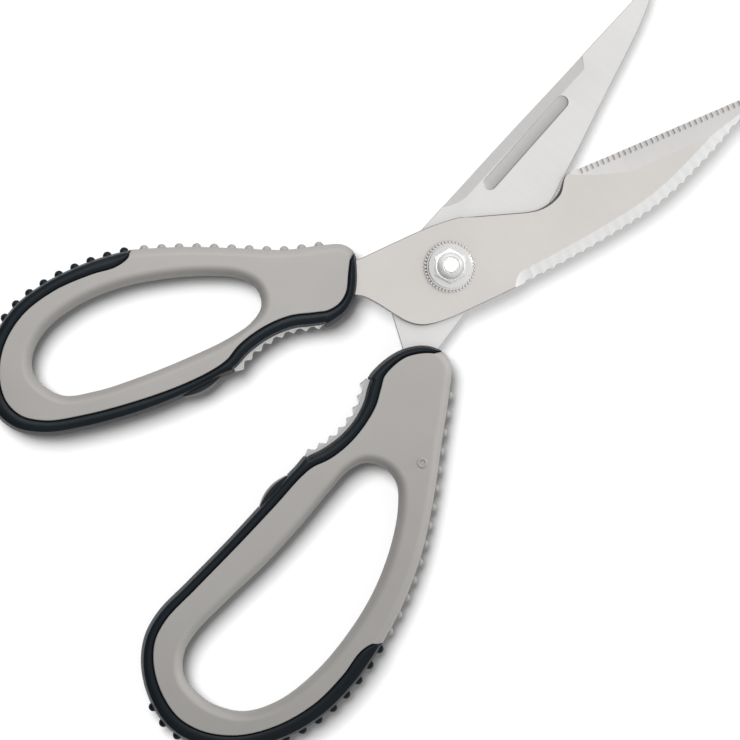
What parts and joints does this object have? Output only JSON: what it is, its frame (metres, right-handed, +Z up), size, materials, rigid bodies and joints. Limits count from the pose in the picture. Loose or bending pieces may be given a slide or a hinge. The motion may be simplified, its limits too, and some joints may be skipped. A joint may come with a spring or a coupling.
{
  "type": "game shears",
  "caption": "Game shears: a serrated blade with a scaler back and a plain grooved blade on an adjustable pivot, in looped two-colour handles with nut-cracking jaws.",
  "frame": {"origin": "on the pivot bolt's axis, at the flat rear face of its head, which is level with the handles' undersides", "axes": "+X from the handles towards the blade tips along the middle of the opening, +Y across the shears towards the smaller handle, +Z up along the bolt towards the cap nut"},
  "size_m": [0.2413, 0.1456, 0.0172],
  "materials": {
    "satin_steel_front": "satin, ground along the blade",
    "satin_steel_rear": "satin, ground along the blade",
    "grey_plastic": "matte moulded, fine grain",
    "black_rubber": "satin soft-touch, cool black",
    "jaw_steel": "pale cast steel",
    "pivot_steel": "polished"
  },
  "bodies": {
    "rear_half": {"rear_blade": "satin_steel_rear", "lower_handle_core": "grey_plastic", "lower_handle_edging": "black_rubber", "lower_jaw_strip": "jaw_steel", "lower_stop_pad": "black_rubber", "pivot_bolt": "pivot_steel"},
    "front_half": {"front_blade": "satin_steel_front", "upper_handle_core": "grey_plastic", "upper_handle_edging": "black_rubber", "upper_jaw_strip": "jaw_steel", "upper_stop_pad": "black_rubber"},
    "tension_nut": {"knurled_ring": "pivot_steel", "plain_washer": "pivot_steel", "cap_nut": "pivot_steel"}
  },
  "joints": [
    {"name": "blade_pivot", "type": "hinge", "parent": "rear_half", "child": "front_half", "pos_m": [0, 0, 0.0065], "axis": [0, 0, -1], "range_deg": [-23.5, 35.5]},
    {"name": "tension_nut_turn", "type": "hinge", "parent": "rear_half", "child": "tension_nut", "pos_m": [0, 0, 0.012], "axis": [0, 0, 1], "range_deg": [-60, 60]}
  ]
}
